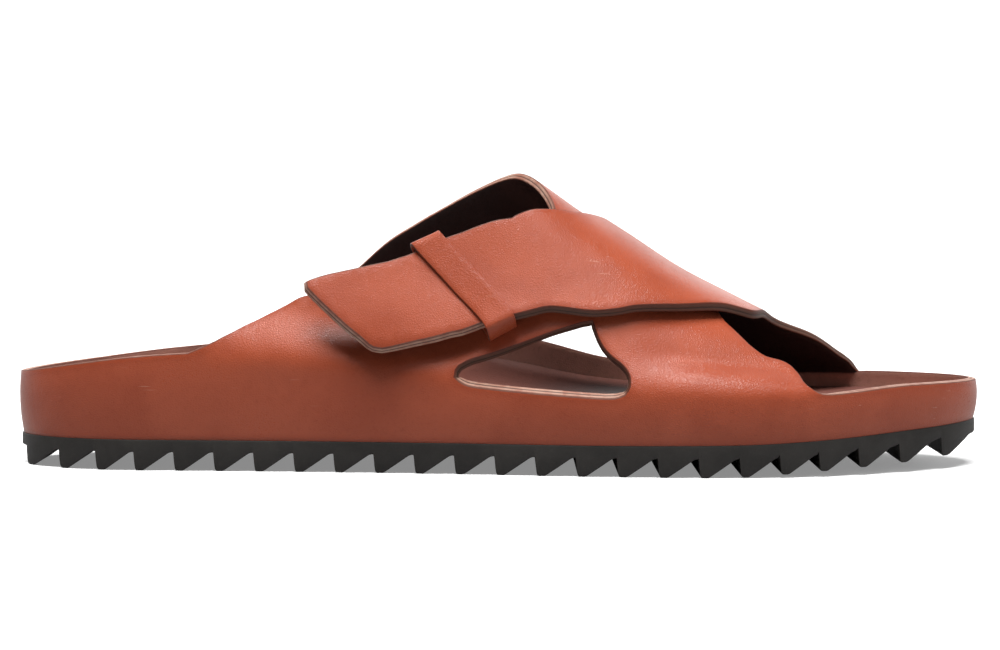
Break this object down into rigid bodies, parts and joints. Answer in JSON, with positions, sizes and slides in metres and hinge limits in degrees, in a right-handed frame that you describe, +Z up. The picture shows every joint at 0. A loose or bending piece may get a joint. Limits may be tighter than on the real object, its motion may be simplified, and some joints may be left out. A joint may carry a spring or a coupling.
{
  "type": "sandal",
  "caption": "Men's slide sandal for the right foot: two leather straps crossed over the instep, a strap end in a keeper loop, open toe and heel, moulded footbed and saw-tooth rubber outsole.",
  "frame": {"origin": "On the floor under the middle of the sandal's bounding box", "axes": "+X from heel to toe, +Z up, +Y towards the inner side of the right foot"},
  "size_m": [0.2898, 0.1026, 0.0873],
  "materials": {
    "outsole": "matt, finely textured",
    "footbed": "red-brown leather cover, darker under the straps",
    "upper": "smooth tan leather with a soft sheen and dark cut edges",
    "strap_keeper": "lightly pebbled tan leather"
  },
  "bodies": {
    "root": {"outsole": "outsole", "footbed": "footbed", "upper": "upper", "strap_keeper": "strap_keeper"}
  },
  "joints": []
}
